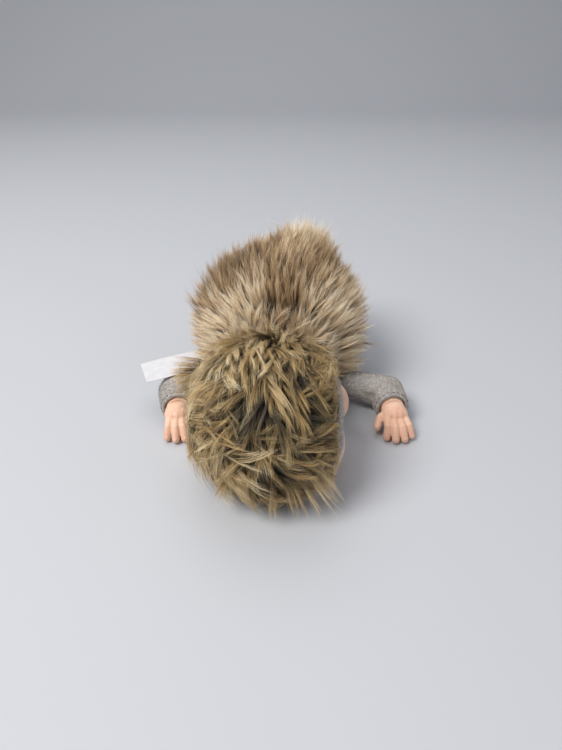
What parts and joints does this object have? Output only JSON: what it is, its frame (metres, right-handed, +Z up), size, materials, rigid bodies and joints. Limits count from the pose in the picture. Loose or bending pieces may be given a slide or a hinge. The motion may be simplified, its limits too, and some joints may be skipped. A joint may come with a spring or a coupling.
{
  "type": "plush baby doll in a furry suit",
  "caption": "Soft stuffed baby doll in a long-pile fur suit, lying on its belly with its vinyl face turned to its left; vinyl hands and feet on jointed cloth limbs.",
  "frame": {"origin": "on the flat of the belly that the doll rests on, under the body's widest place", "axes": "+Z up, +Y from the head towards the feet, +X to the doll's left"},
  "size_m": [0.136, 0.1941, 0.0765],
  "materials": {
    "fur": "matte",
    "velour": "matte",
    "vinyl": "satin",
    "satin": "satin",
    "thread": "matte",
    "fibre": "matte",
    "bag_cloth": "matte",
    "pellet": "satin",
    "tie": "gloss"
  },
  "bodies": {
    "torso": {"back_panel_left": "fur", "back_panel_right": "fur", "belly_panel": "velour", "body_stuffing": "fibre", "pellet_bag": "bag_cloth", "pellets": "pellet", "closing_stitches": "thread"},
    "neck": {"neck_sleeve": "velour", "neck_tie": "tie"},
    "head": {"head_shell": "vinyl", "head_stuffing": "fibre", "hood_left": "fur", "hood_right": "fur", "hood_band": "velour"},
    "care_label": {"care_label": "satin"},
    "left_shoulder": {"left_arm_tab": "velour"},
    "left_upper_arm": {"left_upper_sleeve": "velour", "left_upper_arm_stuffing": "fibre"},
    "left_forearm": {"left_fore_sleeve": "velour", "left_forearm_stuffing": "fibre", "left_wrist_tie": "tie", "left_cuff_stitches": "thread"},
    "left_hand": {"left_hand": "vinyl"},
    "left_hip": {"left_leg_tab": "velour"},
    "left_leg": {"left_leg_sleeve": "velour", "left_leg_stuffing": "fibre", "left_ankle_tie": "tie", "left_ankle_stitches": "thread"},
    "left_foot": {"left_foot": "vinyl"},
    "right_shoulder": {"right_arm_tab": "velour"},
    "right_upper_arm": {"right_upper_sleeve": "velour", "right_upper_arm_stuffing": "fibre"},
    "right_forearm": {"right_fore_sleeve": "velour", "right_forearm_stuffing": "fibre", "right_wrist_tie": "tie", "right_cuff_stitches": "thread"},
    "right_hand": {"right_hand": "vinyl"},
    "right_hip": {"right_leg_tab": "velour"},
    "right_leg": {"right_leg_sleeve": "velour", "right_leg_stuffing": "fibre", "right_ankle_tie": "tie", "right_ankle_stitches": "thread"},
    "right_foot": {"right_foot": "vinyl"}
  },
  "joints": [
    {"name": "neck_nod", "type": "hinge", "parent": "torso", "child": "neck", "pos_m": [-0.004, -0.042, 0.033], "axis": [-1, 0, 0], "range_deg": [-4, 25]},
    {"name": "head_turn", "type": "hinge", "parent": "neck", "child": "head", "pos_m": [-0.004, -0.089, 0.033], "axis": [0, 1, 0], "range_deg": [-50, 50]},
    {"name": "left_shoulder_lift", "type": "hinge", "parent": "torso", "child": "left_shoulder", "pos_m": [0.0217, -0.033, 0.014], "axis": [-0.5632, -0.8263, 0], "range_deg": [-12, 24]},
    {"name": "left_shoulder_swing", "type": "hinge", "parent": "left_shoulder", "child": "left_upper_arm", "pos_m": [0.0345, -0.0334, 0.0124], "axis": [0, 0, 1], "range_deg": [-12, 25]},
    {"name": "left_elbow_bend", "type": "hinge", "parent": "left_upper_arm", "child": "left_forearm", "pos_m": [0.053, -0.038, 0.0094], "axis": [0, 0, 1], "range_deg": [-10, 40]},
    {"name": "left_wrist_turn", "type": "hinge", "parent": "left_forearm", "child": "left_hand", "pos_m": [0.053, -0.038, 0.0094], "axis": [0.0872, -0.9962, 0], "range_deg": [-45, 45]},
    {"name": "left_hip_lift", "type": "hinge", "parent": "torso", "child": "left_hip", "pos_m": [0.0195, 0.0232, 0.0086], "axis": [0.6148, -0.7887, 0], "range_deg": [-4, 16]},
    {"name": "left_hip_swing", "type": "hinge", "parent": "left_hip", "child": "left_leg", "pos_m": [0.0198, 0.0339, 0.009], "axis": [0, 0, 1], "range_deg": [-20, 10]},
    {"name": "left_ankle_turn", "type": "hinge", "parent": "left_leg", "child": "left_foot", "pos_m": [0.0198, 0.0339, 0.009], "axis": [0.2419, 0.9703, 0], "range_deg": [-40, 40]},
    {"name": "right_shoulder_lift", "type": "hinge", "parent": "torso", "child": "right_shoulder", "pos_m": [-0.0217, -0.033, 0.014], "axis": [-0.5632, 0.8263, 0], "range_deg": [-12, 24]},
    {"name": "right_shoulder_swing", "type": "hinge", "parent": "right_shoulder", "child": "right_upper_arm", "pos_m": [-0.0345, -0.0334, 0.0124], "axis": [0, 0, -1], "range_deg": [-12, 25]},
    {"name": "right_elbow_bend", "type": "hinge", "parent": "right_upper_arm", "child": "right_forearm", "pos_m": [-0.053, -0.038, 0.0094], "axis": [0, 0, -1], "range_deg": [-10, 40]},
    {"name": "right_wrist_turn", "type": "hinge", "parent": "right_forearm", "child": "right_hand", "pos_m": [-0.053, -0.038, 0.0094], "axis": [0.2079, -0.9781, 0], "range_deg": [-45, 45]},
    {"name": "right_hip_lift", "type": "hinge", "parent": "torso", "child": "right_hip", "pos_m": [-0.0195, 0.0232, 0.0086], "axis": [0.6148, 0.7887, 0], "range_deg": [-4, 16]},
    {"name": "right_hip_swing", "type": "hinge", "parent": "right_hip", "child": "right_leg", "pos_m": [-0.0198, 0.0339, 0.009], "axis": [0, 0, -1], "range_deg": [-20, 10]},
    {"name": "right_ankle_turn", "type": "hinge", "parent": "right_leg", "child": "right_foot", "pos_m": [-0.0198, 0.0339, 0.009], "axis": [-0.2419, 0.9703, 0], "range_deg": [-40, 40]},
    {"name": "label_flap", "type": "hinge", "parent": "torso", "child": "care_label", "pos_m": [-0.0311, -0.0193, 0.0206], "axis": [-0.342, 0.9397, 0], "range_deg": [-15, 30]}
  ],
  "couplings": [
    {"joint": "label_flap", "follows": "right_shoulder_lift", "ratio": 1.2}
  ]
}
